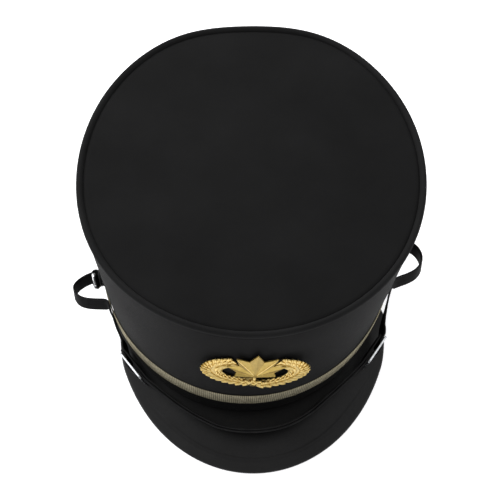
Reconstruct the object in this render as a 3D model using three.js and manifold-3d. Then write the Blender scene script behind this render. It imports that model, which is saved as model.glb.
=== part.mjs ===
// Train conductor hat: a flared oval cloth crown with a flat top, a metallic braid, a stiff peak,
// a two-part chin strap on two slides and two side buttons, and a leaf-in-wreath badge.
// Millimetres, +Z up, the front faces -Y, and the hat rests on the plane Z = 0.

import * as THREE from 'three';
import { ConvexGeometry } from 'three/addons/geometries/ConvexGeometry.js';
import { mergeVertices } from 'three/addons/utils/BufferGeometryUtils.js';
import Module from 'manifold-3d';

// Crown
const GAP = 0.3;
const CLOTH = 2.0;
const AROUND = 80;
const BASE_WIDTH = 172;
const TOP_WIDTH = 208;
const WALL_HEIGHT = 117.5;
const OVAL = 1.188;
const WALL_STEPS = 4;
const SIDE_LEAN = 0.042;
const FRONT_FLAT = 0.048;
const FRONT_POWER = 1;
const BACK_FLAT = 0.044;
const BACK_POWER = 12;
const FRONT_RISE = 12;
const RISE_FROM = THREE.MathUtils.degToRad(100);
const RISE_TO = THREE.MathUtils.degToRad(40);

// Welt and top panel
const WELT_WIDTH = 4.2;
const WELT_HEIGHT = 5.2;
const WELT_PROUD = 0.85;
const WELT_SIDES = 8;
const PANEL_DROP = 1.6;
const PANEL_DOME = 1.5;
const PANEL_RINGS = 3;

// Braid
const BRAID_LOW = 28.8;
const BRAID_HIGH = 40.2;
const BRAID_THICK = 0.8;
const BRAID_ROUND = 0.35;

// Peak, whose outline is part of an oval round a centre in front of the crown's axis
const PEAK_THICK = 2.2;
const PEAK_TIP = 141.2;
const PEAK_CENTRE = 19;
const PEAK_HALF_WIDTH = 89.6;
const PEAK_END = THREE.MathUtils.degToRad(75);
const PEAK_CORNER = THREE.MathUtils.degToRad(66);
const PEAK_DRAW_IN = 2.2;
const DRAW_FROM = THREE.MathUtils.degToRad(50);
const DRAW_TO = THREE.MathUtils.degToRad(64);
const PEAK_SEAM_RISE = 1.6;
const PEAK_SEAM_EASE = 0.1;
const PEAK_CURVE = 1.3;
const PEAK_EDGE_LIFT = 5;
const PEAK_EDGE_FLAT = THREE.MathUtils.degToRad(20);
const PEAK_STATIONS = 41;
const PEAK_STEPS = 6;
const PEAK_LEAST_REACH = 1.5;

// Chin strap
const STRAP_WIDTH = 12;
const STRAP_THICK = 1.2;
const STRAP_STEP = 2.15;
const STRAP_END_ROUND = 5;
const STRAP_END_LEAST = 0.45;
const STRAP_TAPER = 14;
const STRAP_AT_END = 0.7;
const TAB_END = 15;
const SLIDE_LEAN = 18;
const LAYER_SHIFT = (STRAP_THICK + GAP) / 2;
const STRAP_AT_BUTTON = 2.4;

// Each strap's end under its button: place out from the wall, forward of the button and below it,
// and the lean as a share of the wall's flare
const BUTTON_END = [
  { out: STRAP_AT_BUTTON, forward: 3.2, drop: -2.7, share: 1.3 },
  { out: STRAP_AT_BUTTON, forward: 0.0, drop: 0.0, share: 1.3 },
  { out: 2.5, forward: -4.5, drop: 3.8, share: 0.6 },
  { out: 4.0, forward: -7.0, drop: 5.8, share: 0 },
  { out: 6.4, forward: -7.6, drop: 6.9, share: 0 },
];

// Slack loop of each strap from its button down to its slide
const LEFT_LOOP = [
  { x: -103.5, y: -21.0, z: 38.8, lean: 0 },
  { x: -107.2, y: -23.1, z: 38.6, lean: 0 },
  { x: -110.7, y: -26.2, z: 38.5, lean: 0 },
  { x: -112.7, y: -30.3, z: 38.5, lean: 0 },
  { x: -111.4, y: -34.6, z: 38.5, lean: 0 },
  { x: -108.7, y: -37.6, z: 38.5, lean: 0 },
  { x: -104.6, y: -39.3, z: 38.5, lean: 0 },
  { x: -99.4, y: -40.0, z: 38.5, lean: 0 },
  { x: -95.4, y: -40.2, z: 38.5, lean: 0 },
  { x: -92.8, y: -40.4, z: 38.5, lean: 0 },
  { x: -91.2, y: -41.0, z: 38.4, lean: 2 },
  { x: -90.3, y: -42.4, z: 38.0, lean: 6 },
  { x: -89.4, y: -44.4, z: 36.4, lean: 9.5 },
  { x: -88.0, y: -46.8, z: 33.6, lean: 11 },
  { x: -86.7, y: -49.4, z: 30.5, lean: 12 },
  { x: -85.2, y: -52.4, z: 27.0, lean: 12 },
  { x: -83.5, y: -55.4, z: 24.0, lean: 14 },
  { x: -81.6, y: -58.6, z: 21.8, lean: 16 },
];
const RIGHT_LOOP = [
  { x: 102.7, y: 0.4, z: 39.4, lean: 0 },
  { x: 106.4, y: -3.8, z: 40.2, lean: 0 },
  { x: 108.4, y: -9.9, z: 41.2, lean: 0 },
  { x: 107.8, y: -16.9, z: 42.2, lean: 0 },
  { x: 104.1, y: -22.7, z: 42.8, lean: 0 },
  { x: 98.8, y: -26.2, z: 42.9, lean: 0 },
  { x: 93.8, y: -28.3, z: 42.9, lean: 0 },
  { x: 90.2, y: -30.1, z: 42.8, lean: 1 },
  { x: 88.2, y: -32.2, z: 42.0, lean: 2 },
  { x: 87.0, y: -35.0, z: 38.8, lean: 4 },
  { x: 85.9, y: -38.3, z: 34.4, lean: 5 },
  { x: 84.9, y: -41.6, z: 30.2, lean: 7 },
  { x: 83.9, y: -45.1, z: 25.9, lean: 10 },
  { x: 82.9, y: -49.3, z: 22.6, lean: 14 },
];

// Strap across the front between the slides: place in plan, clear height over the peak, and lean
const FRONT_RUN = [
  { x: -56.5, y: -94.1, lift: 1.0, lean: 22 },
  { x: -43.4, y: -104.9, lift: 0.7, lean: 24 },
  { x: -30.5, y: -113.2, lift: 0.6, lean: 26 },
  { x: -20.4, y: -118.0, lift: 0.6, lean: 28 },
  { x: -9.6, y: -120.3, lift: 0.6, lean: 29 },
  { x: 1.5, y: -120.7, lift: 0.6, lean: 29 },
  { x: 12.6, y: -119.3, lift: 0.6, lean: 28 },
  { x: 23.2, y: -115.7, lift: 0.6, lean: 26 },
  { x: 33.2, y: -109.6, lift: 0.6, lean: 24 },
  { x: 43.6, y: -100.6, lift: 0.7, lean: 22 },
  { x: 54.1, y: -90.8, lift: 1.0, lean: 21 },
];

// Slides
const SLIDE_LONG = 23;
const SLIDE_TALL = 15.5;
const SLIDE_THICK = 1.3;
const SLIDE_BAR = 2.5;
const SLIDE_CORNER = 1.2;
const SLOT_CLEAR = 0.7;
const SLIDES = [
  { name: 'slide_left', x: -73.2, y: -75.7, z: 20.4, heading: -54.5 },
  { name: 'slide_right', x: 74.6, y: -66.4, z: 21.0, heading: 57.3 },
];

// Places along a slide, from its middle, where the outer layer rises over the middle bar and goes back
const WEAVE_OUT = SLIDE_THICK + STRAP_THICK + 2 * GAP;
const WEAVE_NEAR = 1.9;
const WEAVE_FAR = 8.3;
const WEAVE_HALF = [1.9, 3.5, 5.1, 6.7, 8.3, 10.4, 12.5];
const WEAVE_PLACES = [...WEAVE_HALF.map((along) => -along).reverse(), 0, ...WEAVE_HALF];

// Side buttons
const BUTTON_HEIGHT = 45.3;
const BUTTON_RADIUS = 5.3;
const BUTTON_RIM = 0.9;
const BUTTON_EASE = 0.45;
const BUTTON_UNDER = 2.1;
const KNEE_OUT = 0.7;
const KNEE_RISE = 0.25;
const BUTTON_DOME = 1.0;
const FOOT_RADIUS = 3.6;
const FOOT_THICK = 0.7;
const DOME_INSET = 0.5;
const DOME_STEPS = 4;
const SHANK_RADIUS = 1.5;
const SHANK_CLEAR = 0.35;
const BORE_LONG = 8;
const BUTTON_SIDES = 16;
const BUTTONS = [
  { name: 'button_left', angle: -76.4 },
  { name: 'button_right', angle: 87 },
];

// Badge
const BADGE_HEIGHT = 77.6;
const BADGE_SIDE = 2.2;
const BADGE_SQUASH = 0.863;
const BADGE_TURN = 200;
const BADGE_TILT = THREE.MathUtils.degToRad(4);
const BADGE_PLATE = 1.5;
const BADGE_EASE = 0.2;
const WREATH_HALF_WIDTH = 25;
const WREATH_HALF_HEIGHT = 16.1;
const WREATH_BAND = 12;
const WREATH_STEPS = 16;
const WREATH_CROSS = 0.08;
const WREATH_TAPER = 0.3;
const WREATH_TAPER_STEPS = 4;
const WREATH_LOW = THREE.MathUtils.degToRad(-90);
const WREATH_HIGH = THREE.MathUtils.degToRad(60);
const LEAFLET_LONG = 10;
const LEAFLET_WIDE = 4.4;
const LEAFLET_RIDGE = 1.7;
const LEAFLET_ROOT = 0.9;
const LEAFLET_EDGE = 0.5;
const LEAFLET_PAIRS = 11;
const LEAFLET_FIRST = 0.12;
const LEAFLET_LAST = 0.25;
const LEAFLET_SINK = 0.4;
const LEAFLET_STAGGER = 0.35;
const LEAFLET_OUTER = 0.2;
const LEAFLET_SPLAY = 35;
const LEAF_BASE = -6.4;
const LEAF_RIDGE = 3.6;
const LEAF_VEIN = 6.1;
const LEAF_TIP_RISE = 1.8;
const LEAF_NOTCH_RISE = 0.3;
const LEAF_FOOT = [2.2, -0.3];
const STEM_WIDE = 2.8;
const STEM_LONG = 9;
const STEM_PROUD = 0.4;
const STEM_DROP = 4;
const KNOT_TOP = 2.0;
const KNOT_FOOT = 2.6;
const KNOT_PROUD = 1.8;
const KNOT_RISE = 1;
const KNOT_SIDES = 10;

// Half outline of a wreath leaflet and its ridge, as shares of the leaflet's length, half width and height
const LEAFLET_OUTLINE = [
  { along: 0, across: 0.3 },
  { along: 0.3, across: 1 },
  { along: 0.65, across: 0.75 },
  { along: 1, across: 0 },
];
const LEAFLET_CREST = [
  { along: 0.25, height: 1 },
  { along: 0.7, height: 0.85 },
];

// Lobes of the middle leaf as tips from the leaf's base, with the notch that follows each tip
const LOBES = [
  { tip: [12.0, 4.5], notch: [10.9, 6.9] },
  { tip: [17.3, 18.9], notch: [10.0, 17.5] },
  { tip: [12.1, 31.0], notch: [4.3, 23.7] },
];
const LEAF_TOP = 36.9;

// The crown's half width and its slope against height
const HALF = BASE_WIDTH / 2;
const FLARE = (TOP_WIDTH - BASE_WIDTH) / 2 / WALL_HEIGHT;

function smooth(value) {
  const t = THREE.MathUtils.clamp(value, 0, 1);
  return t * t * (3 - 2 * t);
}

// The crown's half width and the sideways place of its middle at a height.
// The soft crown leans slightly to one side.
function crownHalf(height) {
  return HALF + FLARE * height;
}

function crownMiddle(height) {
  return SIDE_LEAN * Math.min(0, height - WALL_HEIGHT);
}

// A point of the crown's outer surface, moved outward; angle 0 is the front and grows toward +X.
// The oval flattens at the front and at the back toward the top.
function crownPoint(angle, height, out) {
  const half = crownHalf(height);
  const ahead = Math.cos(angle);
  const rise = THREE.MathUtils.clamp(height / WALL_HEIGHT, 0, 1) ** 2;
  const flat = rise * (ahead > 0 ? FRONT_FLAT : BACK_FLAT);
  const power = ahead > 0 ? FRONT_POWER : BACK_POWER;
  const level = Math.abs(ahead) ** power;
  const normal = new THREE.Vector2(OVAL * (1 - flat * (power + 1) * level) * Math.sin(angle), -ahead);
  normal.normalize();
  const x = crownMiddle(height) + half * Math.sin(angle) + normal.x * out;
  const y = -half * OVAL * ahead * (1 - flat * level) + normal.y * out;
  return new THREE.Vector3(x, y, height);
}

// Height of the crown's lower edge, flat behind and raised at the front for the peak
function lowerEdge(angle) {
  const away = Math.abs(angle);
  return FRONT_RISE * smooth((RISE_FROM - away) / (RISE_FROM - RISE_TO));
}

// Closed geometry from points and triangles, with its faces turned outward
function closedGeometry(points, triangles) {
  let volume = 0;
  for (const [a, b, c] of triangles) {
    volume += points[a].dot(points[b].clone().cross(points[c]));
  }
  const faces = volume < 0 ? triangles.map(([a, b, c]) => [a, c, b]) : triangles;
  const geometry = new THREE.BufferGeometry().setFromPoints(points);
  geometry.setIndex(faces.flat());
  geometry.computeVertexNormals();
  return geometry;
}

// Solid through a row of sections that all have the same even count of points.
// A section runs along one side and back along the other, so that its ends close as a strip.
function loft(sections, closed) {
  const count = sections[0].length;
  const points = sections.flat();
  const triangles = [];
  const spans = closed ? sections.length : sections.length - 1;
  for (let i = 0; i < spans; i += 1) {
    const here = i * count;
    const next = ((i + 1) % sections.length) * count;
    for (let j = 0; j < count; j += 1) {
      const k = (j + 1) % count;
      triangles.push([here + j, next + j, next + k]);
      triangles.push([here + j, next + k, here + k]);
    }
  }
  if (!closed) {
    for (let j = 0; j < count / 2 - 1; j += 1) {
      const back = count - 1 - j;
      const last = (sections.length - 1) * count;
      triangles.push([j, j + 1, back - 1]);
      triangles.push([j, back - 1, back]);
      triangles.push([last + j, last + back - 1, last + j + 1]);
      triangles.push([last + j, last + back, last + back - 1]);
    }
  }
  return closedGeometry(points, triangles);
}

// Ring round the crown from a function that gives the section's [height, out] pairs at an angle
function crownRing(sectionAt) {
  const sections = [];
  for (let i = 0; i < AROUND; i += 1) {
    const angle = (i / AROUND) * 2 * Math.PI - Math.PI;
    sections.push(sectionAt(angle).map(([height, out]) => crownPoint(angle, height, out)));
  }
  return loft(sections, true);
}

// Joins and cuts of closed geometries
const wasm = await Module();
wasm.setup();

function toSolid(geometry) {
  const bare = geometry.clone();
  bare.deleteAttribute('normal');
  bare.deleteAttribute('uv');
  const merged = mergeVertices(bare, 1e-4);
  const vertProperties = new Float32Array(merged.attributes.position.array);
  const triVerts = new Uint32Array(merged.index.array);
  return new wasm.Manifold(new wasm.Mesh({ numProp: 3, vertProperties, triVerts }));
}

function toGeometry(solid) {
  const mesh = solid.getMesh();
  const geometry = new THREE.BufferGeometry();
  geometry.setAttribute('position', new THREE.BufferAttribute(new Float32Array(mesh.vertProperties), 3));
  geometry.setIndex(new THREE.BufferAttribute(new Uint32Array(mesh.triVerts), 1));
  geometry.computeVertexNormals();
  return geometry;
}

// Crown wall, open at the bottom and at the top
function crownSideGeometry() {
  return crownRing((angle) => {
    const low = lowerEdge(angle);
    const outer = [];
    const inner = [];
    for (let i = 0; i <= WALL_STEPS; i += 1) {
      const height = THREE.MathUtils.lerp(low, WALL_HEIGHT, i / WALL_STEPS);
      outer.push([height, 0]);
      inner.unshift([height, -CLOTH]);
    }
    return [...outer, ...inner];
  });
}

// Rolled welt that sits on the wall's top edge
const WELT_MIDDLE = WALL_HEIGHT + GAP + WELT_HEIGHT / 2;
const WELT_INNER = WELT_PROUD - WELT_WIDTH;

function topWeltGeometry() {
  const section = [];
  for (let i = 0; i < WELT_SIDES; i += 1) {
    const turn = ((i + 0.5) / WELT_SIDES) * 2 * Math.PI;
    const height = WELT_MIDDLE + (WELT_HEIGHT / 2) * Math.sin(turn);
    const out = WELT_PROUD - WELT_WIDTH / 2 + (WELT_WIDTH / 2) * Math.cos(turn);
    section.push([height, out]);
  }
  return crownRing(() => section);
}

// Top panel inside the welt, a little domed
function crownTopGeometry() {
  const edgeTop = WELT_MIDDLE + WELT_HEIGHT / 2 - PANEL_DROP;
  const points = [];
  const triangles = [];
  for (let ring = 0; ring < PANEL_RINGS; ring += 1) {
    const share = 1 - ring / PANEL_RINGS;
    const dome = PANEL_DOME * (1 - share * share);
    for (let i = 0; i < AROUND; i += 1) {
      const angle = (i / AROUND) * 2 * Math.PI - Math.PI;
      const edge = crownPoint(angle, edgeTop - CLOTH, WELT_INNER - GAP);
      points.push(new THREE.Vector3(edge.x * share, edge.y * share, edgeTop + dome));
      points.push(new THREE.Vector3(edge.x * share, edge.y * share, edgeTop + dome - CLOTH));
    }
  }
  const centre = points.length;
  points.push(new THREE.Vector3(0, 0, edgeTop + PANEL_DOME));
  points.push(new THREE.Vector3(0, 0, edgeTop + PANEL_DOME - CLOTH));
  for (let i = 0; i < AROUND; i += 1) {
    const k = (i + 1) % AROUND;
    triangles.push([2 * i, 2 * i + 1, 2 * k + 1]);
    triangles.push([2 * i, 2 * k + 1, 2 * k]);
    for (let ring = 0; ring < PANEL_RINGS - 1; ring += 1) {
      const outer = ring * AROUND * 2;
      const inner = outer + AROUND * 2;
      triangles.push([outer + 2 * i, outer + 2 * k, inner + 2 * k]);
      triangles.push([outer + 2 * i, inner + 2 * k, inner + 2 * i]);
      triangles.push([outer + 2 * i + 1, inner + 2 * k + 1, outer + 2 * k + 1]);
      triangles.push([outer + 2 * i + 1, inner + 2 * i + 1, inner + 2 * k + 1]);
    }
    const last = (PANEL_RINGS - 1) * AROUND * 2;
    triangles.push([last + 2 * i, last + 2 * k, centre]);
    triangles.push([last + 2 * i + 1, centre + 1, last + 2 * k + 1]);
  }
  return closedGeometry(points, triangles);
}

// Braid band with its outer corners eased
function braidGeometry() {
  const outer = GAP + BRAID_THICK;
  return crownRing(() => [
    [BRAID_LOW, GAP],
    [BRAID_LOW, outer - BRAID_ROUND],
    [BRAID_LOW + BRAID_ROUND, outer],
    [BRAID_HIGH - BRAID_ROUND, outer],
    [BRAID_HIGH, outer - BRAID_ROUND],
    [BRAID_HIGH, GAP],
  ]);
}

// Distance from the origin, in the direction of a polar angle, to an oval round a middle point
function toOval(polar, middle, halfX, halfY) {
  const s = Math.sin(polar);
  const c = -Math.cos(polar);
  const square = (s / halfX) ** 2 + (c / halfY) ** 2;
  const linear = (s * middle.x) / halfX ** 2 + (c * middle.y) / halfY ** 2;
  const rest = (middle.x / halfX) ** 2 + (middle.y / halfY) ** 2 - 1;
  return (linear + Math.sqrt(linear * linear - square * rest)) / square;
}

function peakOutline(polar) {
  return toOval(polar, new THREE.Vector2(0, -PEAK_CENTRE), PEAK_HALF_WIDTH, PEAK_TIP - PEAK_CENTRE);
}

// Distance to the wall at the height of the peak's seam, with a little ease
function seamRadius(polar) {
  const height = lowerEdge(polar) + PEAK_SEAM_RISE + PEAK_THICK / 2;
  const half = crownHalf(height);
  const middle = new THREE.Vector2(crownMiddle(height), 0);
  return toOval(polar, middle, half, half * OVAL) + GAP + PEAK_SEAM_EASE;
}

// How far the peak reaches out from its seam; it draws in toward its rear corners, which are rounded
function peakReach(polar) {
  const away = Math.abs(polar);
  const past = Math.max(0, (away - PEAK_CORNER) / (PEAK_END - PEAK_CORNER));
  const round = Math.sqrt(Math.max(0, 1 - past * past));
  const drawn = PEAK_DRAW_IN * smooth((away - DRAW_FROM) / (DRAW_TO - DRAW_FROM));
  return Math.max(PEAK_LEAST_REACH, (peakOutline(polar) - drawn - seamRadius(polar)) * round);
}

// Height of the peak's middle surface at a share of the way from the seam to its edge
function peakHeight(polar, share) {
  const seam = lowerEdge(polar) + PEAK_SEAM_RISE;
  const lift = smooth((Math.abs(polar) - PEAK_EDGE_FLAT) / (PEAK_END - PEAK_EDGE_FLAT));
  const edge = PEAK_THICK / 2 + PEAK_EDGE_LIFT * lift;
  return seam + (edge - seam) * share ** PEAK_CURVE;
}

function peakTopAt(x, y) {
  const polar = Math.atan2(x, -y);
  const share = (Math.hypot(x, y) - seamRadius(polar)) / peakReach(polar);
  return peakHeight(polar, THREE.MathUtils.clamp(share, 0, 1)) + PEAK_THICK / 2;
}

function peakGeometry() {
  const sections = [];
  for (let i = 0; i < PEAK_STATIONS; i += 1) {
    const sweep = (2 * i) / (PEAK_STATIONS - 1) - 1;
    const polar = PEAK_END * Math.sin((sweep * Math.PI) / 2);
    const top = [];
    const under = [];
    for (let j = 0; j <= PEAK_STEPS; j += 1) {
      const share = j / PEAK_STEPS;
      const radius = seamRadius(polar) + peakReach(polar) * share;
      const height = peakHeight(polar, share);
      const place = [radius * Math.sin(polar), -radius * Math.cos(polar)];
      top.push(new THREE.Vector3(...place, height + PEAK_THICK / 2));
      under.unshift(new THREE.Vector3(...place, height - PEAK_THICK / 2));
    }
    sections.push([...top, ...under]);
  }
  return loft(sections, false);
}

// A side button's seat on the wall, the outward and the forward direction, and the wall's flare there
function buttonFrame(angle) {
  const turn = THREE.MathUtils.degToRad(angle);
  const seat = crownPoint(turn, BUTTON_HEIGHT, 0);
  const out = crownPoint(turn, BUTTON_HEIGHT, 1).sub(seat).normalize();
  const forward = new THREE.Vector3(out.y, -out.x, 0).multiplyScalar(Math.sign(angle));
  const flare = Math.atan(crownPoint(turn, BUTTON_HEIGHT + 1, 0).sub(seat).dot(out));
  return { seat, out, forward, flare };
}

function loopStops(loop, button) {
  const { seat, out, forward, flare } = buttonFrame(button.angle);
  const end = BUTTON_END.map((row) => {
    const away = row.out - row.drop * Math.tan(flare);
    const place = seat.clone().addScaledVector(out, away).addScaledVector(forward, row.forward);
    place.z -= row.drop;
    return { place, lean: -row.share * THREE.MathUtils.radToDeg(flare) };
  });
  const slack = loop.map((row) => ({ place: new THREE.Vector3(row.x, row.y, row.z), lean: row.lean }));
  return [...end, ...slack];
}

function slideDirection(slide) {
  const turn = THREE.MathUtils.degToRad(slide.heading);
  return new THREE.Vector3(Math.cos(turn), Math.sin(turn), 0);
}

// The way that the strap's outer face looks, on a run that goes from left to right and leans outward
function faceOf(direction, lean) {
  const along = direction.clone().normalize();
  const outward = new THREE.Vector3(along.y, -along.x, 0);
  return outward.applyAxisAngle(along, THREE.MathUtils.degToRad(lean));
}

// A stop on a slide's line: distance along it from its middle, and distance out of its strap's middle
function slideStop(slide, along, out) {
  const direction = slideDirection(slide);
  const place = new THREE.Vector3(slide.x, slide.y, slide.z);
  place.addScaledVector(direction, along).addScaledVector(faceOf(direction, SLIDE_LEAN), out);
  return { place, lean: SLIDE_LEAN };
}

function slideStops(slide, shift, woven) {
  return WEAVE_PLACES.map((along) => {
    const push = smooth((WEAVE_FAR - Math.abs(along)) / (WEAVE_FAR - WEAVE_NEAR));
    return slideStop(slide, along, shift + (woven ? WEAVE_OUT * push : 0));
  });
}

// Stops across the front, where the inner layer's lower edge is just clear of the peak
function frontStops(shift) {
  return FRONT_RUN.map((row, i) => {
    const lean = THREE.MathUtils.degToRad(row.lean);
    const rise = (STRAP_WIDTH / 2) * Math.cos(lean);
    const through = (LAYER_SHIFT + STRAP_THICK / 2) * Math.cos(lean);
    const inward = (STRAP_WIDTH / 2) * Math.sin(lean) + through;
    const before = FRONT_RUN[i - 1] ?? SLIDES[0];
    const after = FRONT_RUN[i + 1] ?? SLIDES[1];
    const direction = new THREE.Vector3(after.x - before.x, after.y - before.y, 0);
    const outward = faceOf(direction, 0);
    const seat = peakTopAt(row.x - outward.x * inward, row.y - outward.y * inward);
    const place = new THREE.Vector3(row.x, row.y, seat + row.lift + rise);
    place.addScaledVector(faceOf(direction, row.lean), shift);
    return { place, lean: row.lean };
  });
}

// Flat strap along a route, on edge, leaning out by the angles given at its stops.
// It narrows toward its end under the button, which is the route's first or last stop.
function strapGeometry(stops, buttonFirst) {
  const curve = new THREE.CatmullRomCurve3(stops.map((stop) => stop.place), false, 'centripetal');
  const length = curve.getLength();
  const steps = Math.round(length / STRAP_STEP);
  const up = new THREE.Vector3(0, 0, 1);
  const sections = [];
  for (let i = 0; i <= steps; i += 1) {
    const share = i / steps;
    const place = curve.getPointAt(share);
    const along = curve.getTangentAt(share);
    const side = along.clone().cross(up).normalize();
    const rise = side.clone().cross(along).normalize();
    const spot = curve.getUtoTmapping(share) * (stops.length - 1);
    const first = Math.min(stops.length - 2, Math.floor(spot));
    const lean = THREE.MathUtils.lerp(stops[first].lean, stops[first + 1].lean, spot - first);
    rise.applyAxisAngle(along, THREE.MathUtils.degToRad(lean));
    side.applyAxisAngle(along, THREE.MathUtils.degToRad(lean));
    const inFromEnd = Math.min(share, 1 - share) * length;
    const cut = Math.max(0, 1 - inFromEnd / STRAP_END_ROUND);
    const fromButton = (buttonFirst ? share : 1 - share) * length;
    const narrow = THREE.MathUtils.lerp(STRAP_AT_END, 1, smooth(fromButton / STRAP_TAPER));
    const half = (STRAP_WIDTH / 2) * narrow * Math.max(STRAP_END_LEAST, Math.sqrt(1 - cut * cut));
    const corner = (across, through) => place.clone()
      .addScaledVector(rise, across * half)
      .addScaledVector(side, (through * STRAP_THICK) / 2);
    sections.push([corner(-1, -1), corner(1, -1), corner(1, 1), corner(-1, 1)]);
  }
  return loft(sections, false);
}

// Turns a shape made along +Z so that it stands on the wall at a button
function placeOnButton(object, button) {
  const { seat, out, flare } = buttonFrame(button.angle);
  const axis = out.clone().multiplyScalar(Math.cos(flare));
  axis.z = -Math.sin(flare);
  object.quaternion.setFromUnitVectors(new THREE.Vector3(0, 0, 1), axis);
  object.position.copy(seat);
  object.updateMatrix();
}

// Strap with the hole that its button's shank goes through
function strapWithHole(stops, button, buttonFirst) {
  const radius = SHANK_RADIUS + SHANK_CLEAR;
  const bore = new THREE.CylinderGeometry(radius, radius, BORE_LONG, BUTTON_SIDES);
  bore.rotateX(Math.PI / 2);
  const holder = new THREE.Object3D();
  placeOnButton(holder, button);
  bore.applyMatrix4(holder.matrix);
  return toGeometry(toSolid(strapGeometry(stops, buttonFirst)).subtract(toSolid(bore)));
}

function leftStrapGeometry() {
  const shift = -LAYER_SHIFT;
  const stops = [
    ...loopStops(LEFT_LOOP, BUTTONS[0]),
    ...slideStops(SLIDES[0], shift, false),
    ...frontStops(shift),
    ...slideStops(SLIDES[1], shift, false),
  ];
  return strapWithHole(stops, BUTTONS[0], true);
}

function rightStrapGeometry() {
  const shift = LAYER_SHIFT;
  const stops = [
    slideStop(SLIDES[0], -TAB_END, shift),
    ...slideStops(SLIDES[0], shift, true),
    ...frontStops(shift),
    ...slideStops(SLIDES[1], shift, true),
    ...loopStops(RIGHT_LOOP, BUTTONS[1]).reverse(),
  ];
  return strapWithHole(stops, BUTTONS[1], false);
}

// Slide: a rectangular frame with a middle bar, made flat and then stood against the strap
function slideGeometry() {
  const halfLong = SLIDE_LONG / 2;
  const halfTall = SLIDE_TALL / 2;
  const corner = (x, y) => new THREE.Vector2(x, y);
  const frame = new THREE.Shape([
    corner(-halfLong + SLIDE_CORNER, -halfTall),
    corner(halfLong - SLIDE_CORNER, -halfTall),
    corner(halfLong, -halfTall + SLIDE_CORNER),
    corner(halfLong, halfTall - SLIDE_CORNER),
    corner(halfLong - SLIDE_CORNER, halfTall),
    corner(-halfLong + SLIDE_CORNER, halfTall),
    corner(-halfLong, halfTall - SLIDE_CORNER),
    corner(-halfLong, -halfTall + SLIDE_CORNER),
  ]);
  const plate = new THREE.ExtrudeGeometry(frame, { depth: SLIDE_THICK, bevelEnabled: false });
  plate.translate(0, 0, -SLIDE_THICK / 2);
  const near = SLIDE_BAR / 2;
  const far = halfLong - SLIDE_BAR;
  let solid = toSolid(plate);
  for (const side of [-1, 1]) {
    const slot = new THREE.BoxGeometry(far - near, STRAP_WIDTH + 2 * SLOT_CLEAR, 2 * SLIDE_THICK);
    slot.translate(side * (near + far) / 2, 0, 0);
    solid = solid.subtract(toSolid(slot));
  }
  return toGeometry(solid);
}

function placeSlide(mesh, slide) {
  const along = slideDirection(slide);
  const face = faceOf(along, SLIDE_LEAN);
  const rise = face.clone().cross(along);
  const outOfStrap = LAYER_SHIFT + STRAP_THICK / 2 + GAP + SLIDE_THICK / 2;
  mesh.quaternion.setFromRotationMatrix(new THREE.Matrix4().makeBasis(along, rise, face));
  mesh.position.copy(slideStop(slide, 0, outOfStrap).place);
}

// Button: a low dome with a rim and a rounded underside, on a shank with a small foot at the wall
function buttonGeometry() {
  const seat = STRAP_AT_BUTTON + BUTTON_EASE + STRAP_THICK / 2 + GAP;
  const rim = seat + BUTTON_UNDER;
  const profile = [
    new THREE.Vector2(0, GAP),
    new THREE.Vector2(FOOT_RADIUS, GAP),
    new THREE.Vector2(FOOT_RADIUS, GAP + FOOT_THICK),
    new THREE.Vector2(SHANK_RADIUS, GAP + FOOT_THICK),
    new THREE.Vector2(SHANK_RADIUS, seat),
    new THREE.Vector2(BUTTON_RADIUS * KNEE_OUT, seat + BUTTON_UNDER * KNEE_RISE),
    new THREE.Vector2(BUTTON_RADIUS, rim),
    new THREE.Vector2(BUTTON_RADIUS, rim + BUTTON_RIM),
  ];
  const domeRadius = BUTTON_RADIUS - DOME_INSET;
  for (let i = 0; i <= DOME_STEPS; i += 1) {
    const turn = (i / DOME_STEPS) * (Math.PI / 2);
    const radius = i === DOME_STEPS ? 0 : domeRadius * Math.cos(turn);
    const height = rim + BUTTON_RIM + BUTTON_DOME * Math.sin(turn);
    profile.push(new THREE.Vector2(radius, height));
  }
  const geometry = new THREE.LatheGeometry(profile, BUTTON_SIDES);
  geometry.rotateX(Math.PI / 2);
  return geometry;
}

// Badge, made flat with X across, Y up and Z out of its face, then squashed a little in height

// One wreath leaflet that points along +X from its foot
function leafletGeometry() {
  const half = LEAFLET_WIDE / 2;
  const points = [];
  for (const { along, across } of LEAFLET_OUTLINE) {
    for (const side of [-1, 1]) {
      points.push(new THREE.Vector3(along * LEAFLET_LONG, side * across * half, -LEAFLET_ROOT));
      points.push(new THREE.Vector3(along * LEAFLET_LONG, side * across * half, LEAFLET_EDGE));
    }
  }
  for (const { along, height } of LEAFLET_CREST) {
    points.push(new THREE.Vector3(along * LEAFLET_LONG, 0, height * LEAFLET_RIDGE));
  }
  return new ConvexGeometry(points);
}

function wreathPoint(turn, out) {
  const x = (WREATH_HALF_WIDTH + out) * Math.cos(turn);
  const y = (WREATH_HALF_HEIGHT + out) * Math.sin(turn);
  return new THREE.Vector2(x, y);
}

// Backing band of one half of the wreath; side is 1 for +X and -1 for -X
function wreathBand(side) {
  const outer = [];
  const inner = [];
  for (let i = 0; i <= WREATH_STEPS; i += 1) {
    const turn = THREE.MathUtils.lerp(WREATH_LOW - WREATH_CROSS, WREATH_HIGH, i / WREATH_STEPS);
    const toEnd = smooth((i - WREATH_STEPS) / WREATH_TAPER_STEPS + 1);
    const half = (WREATH_BAND / 2) * (1 - WREATH_TAPER * toEnd);
    outer.push(wreathPoint(turn, half));
    inner.unshift(wreathPoint(turn, -half));
  }
  const points = [...outer, ...inner].map((point) => new THREE.Vector2(point.x * side, point.y));
  const outline = new THREE.Shape(points);
  return new THREE.ExtrudeGeometry(outline, { depth: BADGE_PLATE, bevelEnabled: false });
}

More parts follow.
